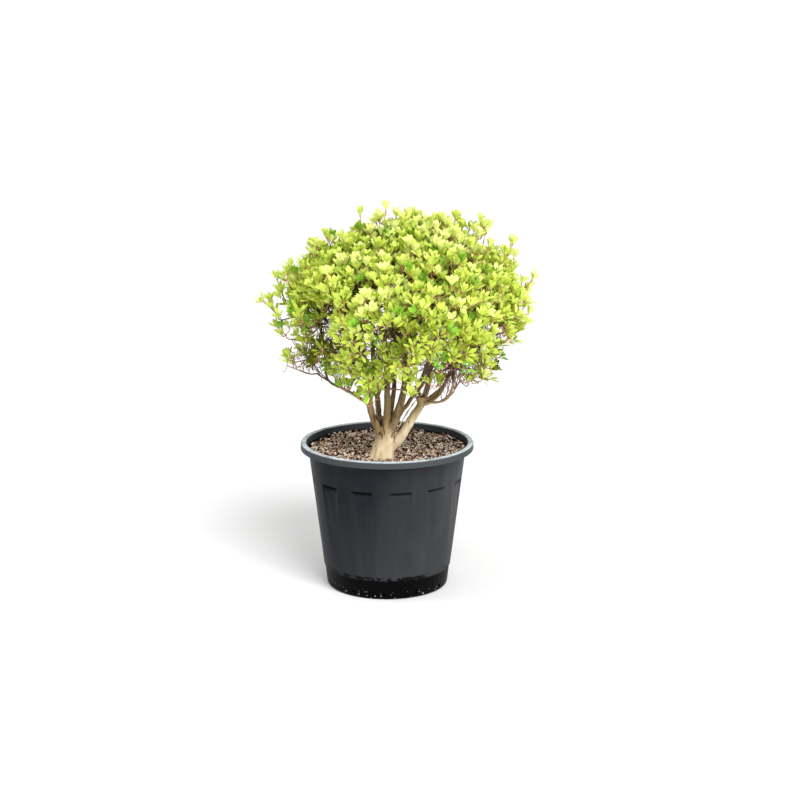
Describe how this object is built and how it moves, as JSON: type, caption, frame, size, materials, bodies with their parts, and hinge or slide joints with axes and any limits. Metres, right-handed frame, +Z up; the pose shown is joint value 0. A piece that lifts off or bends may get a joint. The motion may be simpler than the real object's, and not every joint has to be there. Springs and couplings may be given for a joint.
{
  "type": "potted enkianthus shrub",
  "caption": "Domed deciduous shrub with whorls of lime-green leaves on pale branching stems, growing in a black plastic nursery pot filled with bark compost",
  "frame": {"origin": "centre of the pot's flat underside", "axes": "+Z is up along the pot's axis and is the longest extent; -Y is the side that the picture shows; +X is to its right"},
  "size_m": [0.7396, 0.7041, 1.0337],
  "materials": {
    "pot_plastic": "satin moulded plastic, weathered",
    "compost": "damp bark chips",
    "bark": "smooth pale bark with scars",
    "foliage": "young satin leaves"
  },
  "bodies": {
    "root": {"pot": "pot_plastic", "soil": "compost", "trunk": "bark", "bough_right": "bark", "bough_centre": "bark", "bough_left": "bark", "bough_inner_right": "bark", "bough_inner_left": "bark", "bough_back": "bark", "bough_back_right": "bark", "bough_right_upper": "bark", "bough_right_outer": "bark", "bough_right_low": "bark", "bough_left_low": "bark", "bough_left_front": "bark", "bough_front_low": "bark", "bough_back_left_low": "bark", "bough_back_low": "bark", "bough_back_right_low": "bark", "mass_top": "foliage", "mass_upper_right": "foliage", "mass_upper_back_right": "foliage", "mass_upper_back_left": "foliage", "mass_upper_left": "foliage", "mass_upper_front": "foliage", "mass_upper_front_right": "foliage", "mass_right": "foliage", "mass_back_right": "foliage", "mass_back": "foliage", "mass_back_left": "foliage", "mass_left": "foliage", "mass_front_left": "foliage", "mass_front": "foliage", "mass_front_right": "foliage"}
  },
  "joints": []
}
